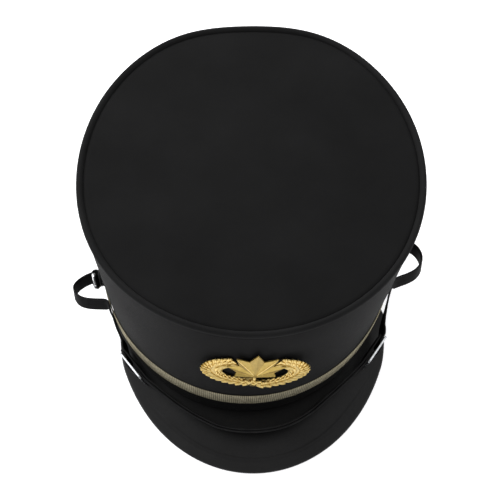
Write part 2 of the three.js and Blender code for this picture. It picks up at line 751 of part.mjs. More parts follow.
function wreathLeaflets(side) {
  const leaflets = [];
  for (let i = 0; i < LEAFLET_PAIRS; i += 1) {
    const share = i / (LEAFLET_PAIRS - 1);
    const turn = THREE.MathUtils.lerp(WREATH_LOW + LEAFLET_FIRST, WREATH_HIGH - LEAFLET_LAST, share);
    const foot = wreathPoint(turn, 0);
    const ahead = wreathPoint(turn + 0.05, 0).sub(foot);
    const course = Math.atan2(ahead.y, ahead.x);
    for (const splay of [-1, 1]) {
      const outer = splay > 0 ? LEAFLET_OUTER : 0;
      const lift = BADGE_PLATE - LEAFLET_SINK + LEAFLET_STAGGER * (i % 2) + outer;
      const leaflet = leafletGeometry();
      const turned = course + THREE.MathUtils.degToRad(splay * LEAFLET_SPLAY);
      leaflet.rotateZ(side > 0 ? turned : Math.PI - turned);
      leaflet.translate(side * foot.x, foot.y, lift);
      leaflets.push(leaflet);
    }
  }
  return leaflets;
}

function leafOutline() {
  const right = [LEAF_FOOT];
  for (const { tip, notch } of LOBES) {
    right.push(tip, notch);
  }
  const left = right.map(([x, y]) => [-x, y]).reverse();
  return [...right, [0, LEAF_TOP], ...left];
}

function leafGeometry() {
  const outline = leafOutline();
  const points = [];
  const triangles = [];
  const isTip = (i) => i % 2 === 1;
  outline.forEach(([x, y], i) => {
    const rise = isTip(i) ? LEAF_TIP_RISE : LEAF_NOTCH_RISE;
    points.push(new THREE.Vector3(x, y + LEAF_BASE, BADGE_PLATE + rise));
    points.push(new THREE.Vector3(x, y + LEAF_BASE, 0));
  });
  const vein = points.length;
  points.push(new THREE.Vector3(0, LEAF_BASE + LEAF_VEIN, LEAF_RIDGE));
  points.push(new THREE.Vector3(0, LEAF_BASE + LEAF_VEIN, 0));
  for (let i = 0; i < outline.length; i += 1) {
    const k = (i + 1) % outline.length;
    triangles.push([vein, 2 * i, 2 * k]);
    triangles.push([vein + 1, 2 * k + 1, 2 * i + 1]);
    triangles.push([2 * i, 2 * i + 1, 2 * k + 1]);
    triangles.push([2 * i, 2 * k + 1, 2 * k]);
  }
  return closedGeometry(points, triangles);
}

// Knot and stem that tie the two halves of the wreath and carry the leaf
function tieGeometries() {
  const stemThick = BADGE_PLATE + STEM_PROUD;
  const stem = new THREE.BoxGeometry(STEM_WIDE, STEM_LONG, stemThick);
  stem.translate(0, LEAF_BASE - STEM_DROP, stemThick / 2);
  const knotThick = BADGE_PLATE + KNOT_PROUD;
  const knot = new THREE.CylinderGeometry(KNOT_TOP, KNOT_FOOT, knotThick, KNOT_SIDES);
  knot.rotateX(Math.PI / 2);
  knot.translate(0, KNOT_RISE - WREATH_HALF_HEIGHT, knotThick / 2);
  return [stem, knot];
}

// The flat badge curves gently back at its sides
function bendBadge(geometry) {
  const place = geometry.attributes.position;
  for (let i = 0; i < place.count; i += 1) {
    const x = place.getX(i);
    place.setZ(i, place.getZ(i) - (x * x) / (2 * BADGE_TURN));
  }
  geometry.computeVertexNormals();
  return geometry;
}

function badgeGeometry() {
  const pieces = [leafGeometry(), ...tieGeometries()];
  for (const side of [-1, 1]) {
    pieces.push(wreathBand(side), ...wreathLeaflets(side));
  }
  let badge = null;
  for (const piece of pieces) {
    const solid = toSolid(piece);
    badge = badge === null ? solid : badge.add(solid);
  }
  const tilted = toGeometry(badge).scale(1, BADGE_SQUASH, 1).rotateZ(-BADGE_TILT);
  return bendBadge(tilted);
}

// The badge stands on the wall's front and leans with it
function placeBadge(mesh) {
  const seat = crownPoint(0, BADGE_HEIGHT, GAP + BADGE_EASE);
  const lean = Math.atan(seat.y - crownPoint(0, BADGE_HEIGHT + 1, GAP + BADGE_EASE).y);
  mesh.rotation.x = Math.PI / 2 + lean;
  mesh.position.copy(seat);
  mesh.position.x += BADGE_SIDE;
}

// Materials
function finish(color, roughness, metalness) {
  return new THREE.MeshStandardMaterial({ color, roughness, metalness });
}
const clothFinish = () => finish(0x161616, 0.9, 0);
const leatherFinish = () => finish(0x1b1b1c, 0.55, 0);
const braidFinish = () => finish(0xb7a985, 0.45, 0.7);
const goldFinish = () => finish(0xe3b23c, 0.25, 1);
const silverFinish = () => finish(0xc9ccd0, 0.25, 1);
const buttonFinish = () => finish(0x3a3b3e, 0.3, 1);

const hat = new THREE.Group();

function addPiece(name, geometry, material) {
  const mesh = new THREE.Mesh(geometry, material);
  mesh.name = name;
  hat.add(mesh);
  return mesh;
}

addPiece('crown_side', crownSideGeometry(), clothFinish());
addPiece('crown_top', crownTopGeometry(), clothFinish());
addPiece('top_welt', topWeltGeometry(), clothFinish());
addPiece('braid_band', braidGeometry(), braidFinish());
addPiece('peak', peakGeometry(), leatherFinish());
addPiece('strap_left', leftStrapGeometry(), leatherFinish());
addPiece('strap_right', rightStrapGeometry(), leatherFinish());
for (const slide of SLIDES) {
  placeSlide(addPiece(slide.name, slideGeometry(), silverFinish()), slide);
}
for (const button of BUTTONS) {
  placeOnButton(addPiece(button.name, buttonGeometry(), buttonFinish()), button);
}
placeBadge(addPiece('badge', badgeGeometry(), goldFinish()));

// The origin is the middle of the hat's footprint, on the plane that it rests on
const box = new THREE.Box3().setFromObject(hat, true);
hat.position.set(-(box.min.x + box.max.x) / 2, -(box.min.y + box.max.y) / 2, -box.min.z);

export default hat;
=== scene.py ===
import math

import bmesh
import bpy
import numpy as np
from mathutils import Matrix, Vector


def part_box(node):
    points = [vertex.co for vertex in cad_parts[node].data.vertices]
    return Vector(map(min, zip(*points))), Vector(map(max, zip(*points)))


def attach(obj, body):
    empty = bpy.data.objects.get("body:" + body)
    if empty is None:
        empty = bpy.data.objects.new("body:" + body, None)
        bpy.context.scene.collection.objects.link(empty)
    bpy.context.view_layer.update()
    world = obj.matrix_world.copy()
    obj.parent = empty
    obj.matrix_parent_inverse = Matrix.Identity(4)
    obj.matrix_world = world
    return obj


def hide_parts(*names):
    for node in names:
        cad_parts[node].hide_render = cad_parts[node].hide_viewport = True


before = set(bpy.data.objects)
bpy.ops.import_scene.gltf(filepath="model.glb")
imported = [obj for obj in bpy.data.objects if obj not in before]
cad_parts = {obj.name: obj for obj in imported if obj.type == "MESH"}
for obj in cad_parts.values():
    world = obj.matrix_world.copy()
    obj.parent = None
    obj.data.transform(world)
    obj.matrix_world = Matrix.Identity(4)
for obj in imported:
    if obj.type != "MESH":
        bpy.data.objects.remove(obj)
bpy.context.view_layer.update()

# Sizes of the hat in millimetres, mostly as in the part's own source
GAP = 0.3
CLOTH = 2.0
BASE_HALF = 86.0
TOP_HALF = 104.0
WALL_HEIGHT = 117.5
OVAL = 1.188
SIDE_LEAN = 0.042
FRONT_FLAT = 0.048
FRONT_POWER = 1
BACK_FLAT = 0.044
BACK_POWER = 12
FRONT_RISE = 12.0
RISE_FROM = math.radians(100)
RISE_TO = math.radians(40)
FLARE = (TOP_HALF - BASE_HALF) / WALL_HEIGHT

WELT_HALF_WIDTH = 2.1
WELT_HALF_HEIGHT = 2.6
WELT_MIDDLE = WALL_HEIGHT + GAP + WELT_HALF_HEIGHT
WELT_OUT = 0.85 - WELT_HALF_WIDTH
PANEL_TOP = WELT_MIDDLE + WELT_HALF_HEIGHT - 1.6
PANEL_OUT = WELT_OUT - WELT_HALF_WIDTH + 0.6
PANEL_DOME = 1.5

BRAID_LOW = 28.8
BRAID_RIBS = 460
RIB_DEEP = 0.35
RIB_PITCH = 2 * math.pi * TOP_HALF / BRAID_RIBS

PEAK_HALF_THICK = 1.1
PEAK_CENTRE = 19.0
PEAK_HALF_WIDTH = 89.6
PEAK_HALF_DEEP = 122.2
PEAK_END = math.radians(75)
PEAK_CORNER = math.radians(66)
PEAK_DRAW_IN = 2.2
DRAW_FROM = math.radians(50)
DRAW_TO = math.radians(64)
PEAK_SEAM_RISE = 1.6
PEAK_SEAM_GAP = 0.4
PEAK_CURVE = 1.3
PEAK_EDGE_LIFT = 5.0
PEAK_EDGE_FLAT = math.radians(20)
BEAD_IN = 7.0
BEAD_HALF = 0.9
BEAD_HIGH = 0.3

STRAP_HALF = 6.0
STRAP_THICK = 1.2
STRAP_STEP = 1.2
STRAP_END_ROUND = 5.0
STRAP_TAPER = 14.0
STRAP_AT_END = 0.7
SLIDE_LEAN = 18.0
LAYER_SHIFT = (STRAP_THICK + GAP) / 2
TAB_END = 15.0
SLIDE_THICK = 1.3
WEAVE_OUT = SLIDE_THICK + STRAP_THICK + 2 * GAP
WEAVE_NEAR = 1.9
WEAVE_FAR = 8.3
WEAVE_HALF = (1.9, 3.5, 5.1, 6.7, 8.3, 10.4, 12.5)

# Swell of the soft crown, which only the scene has
SWELL = 1.1
SWELL_AT = math.radians(-60)
SWELL_HALF = math.radians(24)

# Slides: x, y, z of the middle and heading in degrees
SLIDES = {"left": (-73.2, -75.7, 20.4, -54.5), "right": (74.6, -66.4, 21.0, 57.3)}

# Buttons: angle round the crown in degrees, from the front toward +X
BUTTONS = {"left": -76.4, "right": 87.0}
BUTTON_HEIGHT = 45.3
BUTTON_RADIUS = 5.3
BUTTON_FOOT = (
    (0.05, 0.3), (4.1, 0.3), (4.4, 0.5), (4.4, 1.3), (4.1, 1.5), (1.5, 1.5), (1.5, 3.2), (4.2, 3.2),
)
BUTTON_RIM = ((5.3, 6.1), (5.3, 6.45), (5.2, 6.68), (5.0, 6.8), (4.8, 6.78))
BUTTON_TOP = (0.05, 7.75)

# Where the painted highlight band round the button's rim begins and ends on the button's map, and the width
# of its soft edges
PAINTED_HIGHLIGHT_FROM = 15.2
PAINTED_HIGHLIGHT_TO = 17.1
PAINTED_HIGHLIGHT_SOFT = 0.3

# A strap's end under its button: out from the wall, forward of the button, below it, share of the flare
BUTTON_END = (
    (2.4, 3.2, -2.7, 1.3), (2.4, 0.0, 0.0, 1.3), (2.5, -4.5, 3.8, 0.6),
    (4.0, -7.0, 5.8, 0.0), (6.4, -7.6, 6.9, 0.0),
)

# Slack loops from button to slide: x, y, z and lean in degrees
LOOPS = {
    "left": (
        (-103.5, -21.0, 38.8, 0), (-107.2, -23.1, 38.6, 0), (-110.7, -26.2, 38.5, 0),
        (-112.7, -30.3, 38.5, 0), (-111.4, -34.6, 38.5, 0), (-108.7, -37.6, 38.5, 0),
        (-104.6, -39.3, 38.5, 0), (-99.4, -40.0, 38.5, 0), (-95.4, -40.2, 38.5, 0),
        (-92.8, -40.4, 38.5, 0), (-91.2, -41.0, 38.4, 2), (-90.3, -42.4, 38.0, 6),
        (-89.4, -44.4, 36.4, 9.5), (-88.0, -46.8, 33.6, 11), (-86.7, -49.4, 30.5, 12),
        (-85.2, -52.4, 27.0, 12), (-83.5, -55.4, 24.0, 14), (-81.6, -58.6, 21.8, 16),
    ),
    "right": (
        (102.7, 0.4, 39.4, 0), (106.4, -3.8, 40.2, 0), (108.4, -9.9, 41.2, 0),
        (107.8, -16.9, 42.2, 0), (104.1, -22.7, 42.8, 0), (98.8, -26.2, 42.9, 0),
        (93.8, -28.3, 42.9, 0), (90.2, -30.1, 42.8, 1), (88.2, -32.2, 42.0, 2),
        (87.0, -35.0, 38.8, 4), (85.9, -38.3, 34.4, 5), (84.9, -41.6, 30.2, 7),
        (83.9, -45.1, 25.9, 10), (82.9, -49.3, 22.6, 14),
    ),
}

# Strap across the front: x, y, clear height over the peak and lean in degrees
FRONT_RUN = (
    (-56.5, -94.1, 1.0, 22), (-43.4, -104.9, 0.7, 24), (-30.5, -113.2, 0.6, 26), (-20.4, -118.0, 0.6, 28),
    (-9.6, -120.3, 0.6, 29), (1.5, -120.7, 0.6, 29), (12.6, -119.3, 0.6, 28), (23.2, -115.7, 0.6, 26),
    (33.2, -109.6, 0.6, 24), (43.6, -100.6, 0.7, 22), (54.1, -90.8, 1.0, 21),
)

# Badge
BADGE_HEIGHT = 77.6
BADGE_SIDE = 2.2
BADGE_SQUASH = 0.863
BADGE_TURN = 200.0
BADGE_TILT = math.radians(4)
BADGE_OUT = 0.5
BADGE_PLATE = 1.5
WREATH_HALF_WIDTH = 25.0
WREATH_HALF_HEIGHT = 16.1
WREATH_MIDDLE = 0.8
WREATH_BAND = 12.6
WREATH_SAG = {-1: 0.0, 1: 3.2}
WREATH_LOW = math.radians(-90)
WREATH_HIGH = math.radians(60)
LEAF_BASE = -6.4
LEAF_TOP = 36.9
LEAF_SHEET = 0.9
LEAF_NODE = 6.1
LEAF_MAP = 200.0
LEAF_FOOT = (2.2, -0.3)
LOBES = (((12.0, 4.5), (10.9, 6.9)), ((17.3, 18.9), (10.0, 17.5)), ((12.1, 31.0), (4.3, 23.7)))

# Camera fitted to the photo's outline: eye and target from the foot of the hat's axis, and lens
EYE = (-8.83, -570.06, 832.43)
TARGET = (-1.418, -34.333, 87.0)
LENS = 108.722

# Softboxes in metres and watts: place, target, size and power
SOFTBOXES = {
    "key_light": ((-1.5, 0.1, 1.4), (0.0, 0.0, 0.06), 1.4, 14.5),
    "fill_light": ((1.5, 0.1, 1.4), (0.0, 0.0, 0.06), 1.4, 4.6),
    "back_light": ((-0.35, 0.6, 0.45), (0.0, 0.0, 0.12), 0.5, 3.0),
}

# Units and the name of the map
MM = 0.001
MAP = "millimetres"


# Shapes shared by several pieces
def smooth(value):
    t = np.clip(value, 0, 1)
    return t * t * (3 - 2 * t)


def bump_at(place, middle, half):
    return np.exp(-(((place - middle) / half) ** 2))


def unit(vector):
    return vector / np.linalg.norm(vector)


def crown_half(height):
    return BASE_HALF + FLARE * height


def crown_middle(height):
    return SIDE_LEAN * np.minimum(0, height - WALL_HEIGHT)


def crown_point(angle, height, out):
    """A point of the wall, moved outward; the soft crown swells a little at the left of the front."""
    rise = np.clip(height / WALL_HEIGHT, 0, 1)
    out = out + SWELL * rise * bump_at(angle, SWELL_AT, SWELL_HALF)
    half = crown_half(height)
    ahead = np.cos(angle)
    power = np.where(ahead > 0, FRONT_POWER, BACK_POWER)
    flat = rise**2 * np.where(ahead > 0, FRONT_FLAT, BACK_FLAT)
    level = np.abs(ahead) ** power
    across = OVAL * (1 - flat * (power + 1) * level) * np.sin(angle)
    size = np.hypot(across, ahead)
    x = crown_middle(height) + half * np.sin(angle) + across / size * out
    y = -half * OVAL * ahead * (1 - flat * level) - ahead / size * out
    return np.stack(np.broadcast_arrays(x, y, height + 0 * x), -1)


# The hat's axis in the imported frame, from the box of the crown's wall
wall_low, wall_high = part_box("crown_side")
top_front = crown_point(0.0, WALL_HEIGHT, 0.0)
top_back = crown_point(math.pi, WALL_HEIGHT, 0.0)
axis_x = (wall_low.x + wall_high.x) / 2
axis_y = (wall_low.y + wall_high.y - (top_front[1] + top_back[1]) * MM) / 2
AXIS = np.array([axis_x, axis_y, 0.0])


def lower_edge(angle):
    return FRONT_RISE * smooth((RISE_FROM - np.abs(angle)) / (RISE_FROM - RISE_TO))


def to_oval(polar, middle_x, middle_y, half_x, half_y):
    """Distance from the axis to an oval, in the direction of an angle from the front."""
    across = np.sin(polar)
    back = -np.cos(polar)
    square = (across / half_x) ** 2 + (back / half_y) ** 2
    linear = across * middle_x / half_x**2 + back * middle_y / half_y**2
    rest = (middle_x / half_x) ** 2 + (middle_y / half_y) ** 2 - 1
    return (linear + np.sqrt(linear * linear - square * rest)) / square


def seam_radius(polar):
    height = lower_edge(polar) + PEAK_SEAM_RISE + PEAK_HALF_THICK
    half = crown_half(height)
    return to_oval(polar, crown_middle(height), 0.0, half, half * OVAL) + PEAK_SEAM_GAP


def peak_reach(polar):
    outline = to_oval(polar, 0.0, -PEAK_CENTRE, PEAK_HALF_WIDTH, PEAK_HALF_DEEP)
    past = np.clip((np.abs(polar) - PEAK_CORNER) / (PEAK_END - PEAK_CORNER), 0, 1)
    drawn = PEAK_DRAW_IN * smooth((np.abs(polar) - DRAW_FROM) / (DRAW_TO - DRAW_FROM))
    return np.maximum(1.5, (outline - drawn - seam_radius(polar)) * np.sqrt(1 - past * past))


def peak_height(polar, share):
    seam = lower_edge(polar) + PEAK_SEAM_RISE
    lift = smooth((np.abs(polar) - PEAK_EDGE_FLAT) / (PEAK_END - PEAK_EDGE_FLAT))
    edge = PEAK_HALF_THICK + PEAK_EDGE_LIFT * lift
    return seam + (edge - seam) * share**PEAK_CURVE


def peak_top_at(x, y):
    polar = math.atan2(x, -y)
    share = (math.hypot(x, y) - seam_radius(polar)) / peak_reach(polar)
    return peak_height(polar, np.clip(share, 0, 1)) + PEAK_HALF_THICK


# Meshes from grids of points
def grid_faces(points, u, v, round_rows=False, round_columns=False):
    """Quads over a grid; u and v hold the map's place of each point, with one more where the grid closes."""
    rows, columns = points.shape[:2]
    shape = (rows + round_rows, columns + round_columns)
    i, j = np.meshgrid(np.arange(shape[0] - 1), np.arange(shape[1] - 1), indexing="ij")
    row = np.stack([i, i + 1, i + 1, i], -1).reshape(-1, 4)
    column = np.stack([j, j, j + 1, j + 1], -1).reshape(-1, 4)
    faces = (row % rows) * columns + column % columns
    u = np.broadcast_to(u, shape)
    v = np.broadcast_to(v, shape)
    places = np.stack([u[row, column], v[row, column]], -1).reshape(-1, 2)
    return points.reshape(-1, 3), faces.tolist(), places


def tube(points, u, v):
    """A closed tube whose sections run along one side and back along the other."""
    rows, columns = points.shape[:2]
    points, faces, places = grid_faces(points, u, v, round_columns=True)
    caps = []
    for start in (0, (rows - 1) * columns):
        for j in range(columns // 2 - 1):
            back = columns - 1 - j
            caps.append([start + j, start + j + 1, start + back - 1, start + back])
    return points, faces + caps, np.vstack([places, np.zeros((len(caps) * 4, 2))])


def capped_tube(points, u, v):
    """A tube with an odd count of points in each section, closed by one face at each end."""
    rows, columns = points.shape[:2]
    places, faces, maps = grid_faces(points, u, v, round_columns=True)
    ends = [list(range(columns)), list(range((rows - 1) * columns, rows * columns))]
    return places, faces + ends, np.vstack([maps, np.zeros((2 * columns, 2))])


def seen_flat(points, faces):
    """Map places straight from the points' first two coordinates."""
    return np.vstack([points[face][:, :2] for face in faces])


def shut(values):
    """A row of map places with the step that closes a ring."""
    return np.append(values, 2 * values[-1] - values[-2])


def add_piece(name, parts, material, slot, *nodes):
    """One object from parts: points in millimetres, faces, map places, and whether the faces are flat."""
    points = []
    faces = []
    places = []
    flat = []
    start = 0
    for part in parts:
        points.append(part[0])
        faces.extend([start + k for k in face] for face in part[1])
        places.append(part[2])
        flat.extend([len(part) > 3] * len(part[1]))
        start += len(part[0])
    mesh = bpy.data.meshes.new(name)
    mesh.from_pydata((np.vstack(points) * MM + AXIS).tolist(), [], faces)
    layer = mesh.uv_layers.new(name=MAP)
    layer.uv.foreach_set("vector", np.vstack(places).astype(np.float32).ravel())
    mesh.polygons.foreach_set("use_smooth", [not f for f in flat])
    shape = bmesh.new()
    shape.from_mesh(mesh)
    bmesh.ops.recalc_face_normals(shape, faces=shape.faces)
    shape.to_mesh(mesh)
    shape.free()
    mesh.materials.append(material)
    piece = bpy.data.objects.new(name, mesh)
    bpy.context.scene.collection.objects.link(piece)
    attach(piece, "root")
    if nodes:
        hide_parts(*nodes)
    return piece


# Materials
class Finish:
    """A node material whose constants sit on the shader's own sockets."""

    def __init__(self, name, **constants):
        self.material = bpy.data.materials.new(name)
        self.material.use_nodes = True
        self.tree = self.material.node_tree
        self.shader = self.tree.nodes["Principled BSDF"]
        for socket, value in constants.items():
            self.shader.inputs[socket.replace("_", " ")].default_value = value

    def put(self, socket, value):
        if isinstance(value, bpy.types.NodeSocket):
            self.tree.links.new(value, socket)
        else:
            socket.default_value = value

    def node(self, kind, inputs, **settings):
        made = self.tree.nodes.new(kind)
        for key, value in settings.items():
            setattr(made, key, value)
        for key, value in inputs.items():
            self.put(made.inputs[key], value)
        return made

    def math(self, operation, *values):
        return self.node("ShaderNodeMath", dict(enumerate(values)), operation=operation).outputs[0]

    def map(self):
        """Place on the piece's own map, in millimetres."""
        found = self.node("ShaderNodeUVMap", {}, uv_map=MAP).outputs[0]
        split = self.node("ShaderNodeSeparateXYZ", {0: found})
        return split.outputs[0], split.outputs[1]

    def place(self):
        """Place in the hat's frame, in metres."""
        return self.node("ShaderNodeTexCoord", {}).outputs["Object"]

    def wave(self, value, pitch):
        """A sine between 0 and 1 that repeats at each pitch."""
        turn = self.math("MULTIPLY", value, 2 * math.pi / pitch)
        return self.math("MULTIPLY_ADD", self.math("SINE", turn), 0.5, 0.5)

    def noise(self, size, detail=2.0):
        """Soft noise with spots of about that size in millimetres."""
        inputs = {"Vector": self.place(), "Scale": 1 / (size * MM), "Detail": detail}
        return self.node("ShaderNodeTexNoise", inputs).outputs["Fac"]

    def cells(self, size):
        inputs = {"Vector": self.place(), "Scale": 1 / (size * MM)}
        return self.node("ShaderNodeTexVoronoi", inputs, feature="SMOOTH_F1").outputs["Distance"]

    def between(self, value, low, high):
        return self.math("MULTIPLY_ADD", value, high - low, low)

    def ramp(self, value, start, end, first, last):
        """A straight change from first to last between two places."""
        inputs = {0: value, 1: start, 2: end, 3: first, 4: last}
        return self.node("ShaderNodeMapRange", inputs).outputs[0]

    def colours(self, value, *stops):
        """Colour ramp from pairs of place and colour."""
        made = self.node("ShaderNodeValToRGB", {"Fac": value})
        elements = made.color_ramp.elements
        while len(elements) < len(stops):
            elements.new(0.5)
        for element, (place, colour) in zip(elements, stops):
            element.position = place
            element.color = (*colour, 1.0)
        return made.outputs["Color"]

    def blend(self, share, first, second):
        made = self.node("ShaderNodeMix", {0: share, 6: first, 7: second}, data_type="RGBA")
        return made.outputs[2]

    def finish(self, colour, roughness, *heights):
        """Links colour and roughness, and bumps given as pairs of height and depth in millimetres."""
        self.put(self.shader.inputs["Base Color"], colour)
        self.put(self.shader.inputs["Roughness"], roughness)
        normal = None
        for height, deep in heights:
            bump = self.node("ShaderNodeBump", {"Height": height, "Distance": deep * MM})
            if normal is not None:
                self.put(bump.inputs["Normal"], normal)
            normal = bump.outputs["Normal"]
        if normal is not None:
            self.put(self.shader.inputs["Normal"], normal)
        return self.material


def grey(value):
    return (value, value, value * 1.02)


def cloth_finish(name, darker, lighter):
    made = Finish(name, Specular_IOR_Level=0.04, Sheen_Weight=0.03, Sheen_Roughness=0.3)
    u, v = made.map()
    twill = made.wave(made.math("ADD", u, v), 0.75)
    threads = made.math("MULTIPLY", made.wave(u, 0.42), made.wave(v, 0.42))
    weave = made.math("MULTIPLY_ADD", twill, 0.6, made.math("MULTIPLY", threads, 0.4))
    shade = made.math("MULTIPLY_ADD", weave, 0.35, made.math("MULTIPLY", made.noise(38, 3), 0.65))
    colour = made.colours(shade, (0.15, grey(darker)), (0.85, grey(lighter)))
    rough = made.between(made.noise(1.6, 4), 0.62, 0.86)
    return made.finish(colour, rough, (made.noise(0.35, 3), 0.02), (weave, 0.05))


def braid_finish():
    tint = (0.12, 0.1, 0.07, 1.0)
    made = Finish("metal_braid", Metallic=0.55, Specular_IOR_Level=0.1, Specular_Tint=tint)
    u, v = made.map()
    threads = made.math("MULTIPLY", made.wave(v, 0.5), made.wave(u, 0.62))
    tone = made.math("MULTIPLY_ADD", threads, 0.5, made.math("MULTIPLY", made.noise(4, 3), 0.5))
    low, middle, high = (0.2, 0.18, 0.12), (0.46, 0.42, 0.3), (0.78, 0.72, 0.54)
    body = made.colours(tone, (0.1, low), (0.5, middle), (0.9, high))
    # Painted shade: the colour darkens toward dark gold in each groove between the ribs
    groove = made.math("POWER", made.wave(u, RIB_PITCH), 2.0)
    colour = made.blend(made.math("MULTIPLY", groove, 0.8), body, (0.06, 0.053, 0.038, 1.0))
    rough = made.between(made.noise(1.2, 3), 0.34, 0.56)
    return made.finish(colour, rough, (threads, 0.06))


def leather_finish(name, grain, darker, lighter, edge, shine, lines, painted_shade_from):
    """Grained leathercloth with lighter lines and edges lightened by wear and a painted highlight; painted
    shade from that distance in.
    """
    made = Finish(name, Specular_IOR_Level=shine)
    v = made.map()[1]
    patches = made.math("MULTIPLY", made.noise(30, 3), 0.7)
    tone = made.math("MULTIPLY_ADD", made.cells(grain), 0.3, patches)
    body = made.colours(tone, (0.2, grey(darker)), (0.8, grey(lighter)))
    # Edges lighter from wear, and lighter still as a painted highlight along them
    wear_and_highlight = made.ramp(v, 0.2, 1.3, 1.0, 0.0)
    # Painted shade: from that distance in from the edge the leather turns almost black
    dark = made.ramp(v, painted_shade_from, painted_shade_from + 5, 0.0, 0.8)
    share = made.math("MULTIPLY", wear_and_highlight, made.between(made.noise(7, 3), 0.1, 0.6))
    along = made.math("MULTIPLY", made.wave(v, 1.2), made.math("MULTIPLY", made.noise(1.1, 3), lines))
    body = made.blend(dark, body, (*grey(0.001), 1.0))
    colour = made.blend(made.math("MAXIMUM", share, along), body, (*grey(edge), 1.0))
    rough = made.between(made.noise(3, 4), 0.42, 0.62)
    return made.finish(colour, rough, (made.noise(0.5, 3), 0.015), (made.cells(grain), 0.05))


def metal_finish(name, dark, bright, low, high):
    made = Finish(name, Metallic=1.0)
    colour = made.colours(made.noise(2.2, 4), (0.3, dark), (0.7, bright))
    rough = made.between(made.noise(0.8, 4), low, high)
    return made.finish(colour, rough, (made.noise(0.45, 3), 0.012))


def gold_finish():
    """Polished gold, with a satin surface on the leaf, whose map lies beside the wreath's."""
    made = Finish("gold_metal", Metallic=1.0)
    leaf_share = made.math("GREATER_THAN", made.map()[0], LEAF_MAP / 2)
    spots = made.noise(2.2, 4)
    bright = made.colours(spots, (0.3, (0.55, 0.395, 0.125)), (0.7, (0.73, 0.555, 0.225)))
    satin = made.colours(spots, (0.3, (0.36, 0.255, 0.066)), (0.7, (0.47, 0.34, 0.102)))
    colour = made.blend(leaf_share, bright, satin)
    rough = made.math("MULTIPLY_ADD", leaf_share, 0.12, made.between(made.noise(0.8, 4), 0.22, 0.38))
    return made.finish(colour, rough, (made.noise(0.45, 3), 0.012))


def button_finish():
    made = Finish("button_metal", Metallic=1.0)
    v = made.map()[1]
    # Painted shade and painted dark reflection: the polished metal is coloured near black, with a bright
    # band round the rim as a painted highlight
    body = made.colours(made.noise(2.2, 4), (0.3, grey(0.03)), (0.7, grey(0.06)))
    inside = made.ramp(v, PAINTED_HIGHLIGHT_FROM, PAINTED_HIGHLIGHT_FROM + PAINTED_HIGHLIGHT_SOFT, 0.0, 1.0)
    outside = made.ramp(v, PAINTED_HIGHLIGHT_TO - PAINTED_HIGHLIGHT_SOFT, PAINTED_HIGHLIGHT_TO, 1.0, 0.0)
    colour = made.blend(made.math("MULTIPLY", inside, outside), body, (*grey(0.62), 1.0))
    rough = made.between(made.noise(0.8, 4), 0.16, 0.3)
    return made.finish(colour, rough, (made.noise(0.45, 3), 0.01))


def floor_finish():
    made = Finish("pale_floor", Specular_IOR_Level=0.0, Emission_Strength=0.55)
    made.shader.inputs["Emission Color"].default_value = (1.0, 1.0, 1.0, 1.0)
    colour = made.colours(made.noise(400, 2), (0.2, grey(0.86)), (0.8, grey(0.9)))
    return made.finish(colour, made.between(made.noise(60, 2), 0.85, 0.95))


cloth = cloth_finish("black_cloth", darker=0.005, lighter=0.0106)
# A lighter copy of the crown cloth for the welt: painted light that makes up for the light its turned-away
# faces miss
welt_painted_light_cloth = cloth_finish("welt_painted_light_cloth", darker=0.0071, lighter=0.0145)
braid_metal = braid_finish()
# On the peak the painted shade starts 19 mm in from the edge, behind the strap; the strap's 90 mm lies past
# its width
peak_leather = leather_finish(
    "peak_leather", grain=0.9, darker=0.0066, lighter=0.0126,
    edge=0.02, shine=0.12, lines=0.0, painted_shade_from=19.0,
)
# The strap's light edge grey is wear plus a painted highlight along its edges
strap_leather = leather_finish(
    "strap_leather", grain=0.55, darker=0.0027, lighter=0.0053,
    edge=0.03, shine=0.02, lines=0.3, painted_shade_from=90.0,
)
silver = metal_finish("silver_metal", dark=(0.34, 0.35, 0.36), bright=(0.48, 0.49, 0.51), low=0.2, high=0.34)
button_metal = button_finish()
gold = gold_finish()


# Crown wall with a rounded lower edge, faint sways and a butt seam at the back
def wall_sway(angle, height):
    fade = smooth(height / 25) * smooth((WALL_HEIGHT - height) / 18)
    wide = 0.2 * np.sin(3 * angle + 0.7) * np.sin(height / 19 + 1)
    small = 0.12 * np.sin(7 * angle + 2) * np.sin(height / 11)
    return fade * (wide + small)


def wall_seam(angle):
    away = (math.pi - np.abs(angle)) * BASE_HALF
    return 0.22 * bump_at(away, 1.5, 0.8) - 0.5 * bump_at(away, 0, 0.55)


def crown_side():
    fine = np.array([0.0025, 0.005, 0.008, 0.012, 0.017, 0.024, 0.034])
    even = np.linspace(-math.pi, math.pi, 280, endpoint=False)
    angles = np.unique(np.concatenate([even, fine - math.pi, math.pi - fine]))[:, None]
    low = lower_edge(angles)
    turn = np.linspace(math.pi, 2 * math.pi, 9)
    shares = np.linspace(0, 1, 61)
    wall = low + CLOTH / 2 + (WALL_HEIGHT + 0.9 - low - CLOTH / 2) * shares
    heights = np.hstack([low + CLOTH / 2 * (1 + np.sin(turn)), wall[:, 1:], wall[:, :0:-1]])
    outs = np.concatenate([CLOTH / 2 * (np.cos(turn) - 1), 0 * shares[1:], 0 * shares[1:] - CLOTH])
    outs = outs + wall_sway(angles, heights) + wall_seam(angles)
    points = crown_point(angles, heights, outs)
    u = np.append(angles[:, 0], math.pi) * TOP_HALF
    v = shut(heights[0])
    return grid_faces(points, u[:, None], v, round_rows=True, round_columns=True)


def puckers(angle, first, second, third):
    return first * np.sin(83 * angle + 1) + second * np.sin(131 * angle + 2) + third * np.sin(57 * angle)


# Top panel, domed, its edge turned down into the seam with faint puckers
PANEL_EDGE_RINGS = (0.94, 0.955, 0.968, 0.978, 0.986, 0.992, 0.997, 1.0)


